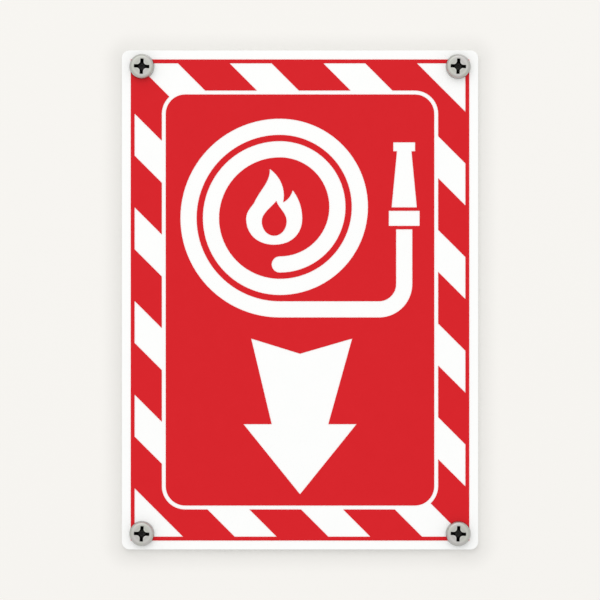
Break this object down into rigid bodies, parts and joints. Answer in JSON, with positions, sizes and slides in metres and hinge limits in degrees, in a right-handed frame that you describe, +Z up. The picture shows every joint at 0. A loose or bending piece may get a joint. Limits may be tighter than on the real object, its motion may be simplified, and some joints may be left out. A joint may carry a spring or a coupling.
{
  "type": "fire hose sign",
  "caption": "Upright red and white wall sign on a thin plastic plate, with a striped border, a hose pictogram and a downward arrow, screwed on at its corners.",
  "frame": {"origin": "centre of the plate's back face, where it lies against the wall", "axes": "+Z up along the sign's height, +X to the right as seen from the front, +Y into the wall along the screws; the printed front faces -Y"},
  "size_m": [0.127, 0.028, 0.1778],
  "materials": {
    "white_plastic": "satin",
    "red_print": "satin",
    "screw_steel": "satin zinc"
  },
  "bodies": {
    "root": {"sign_plate": "white_plastic", "border_print": "red_print", "panel_print": "red_print", "screw_top_left": "screw_steel", "screw_top_right": "screw_steel", "screw_bottom_left": "screw_steel", "screw_bottom_right": "screw_steel"}
  },
  "joints": []
}
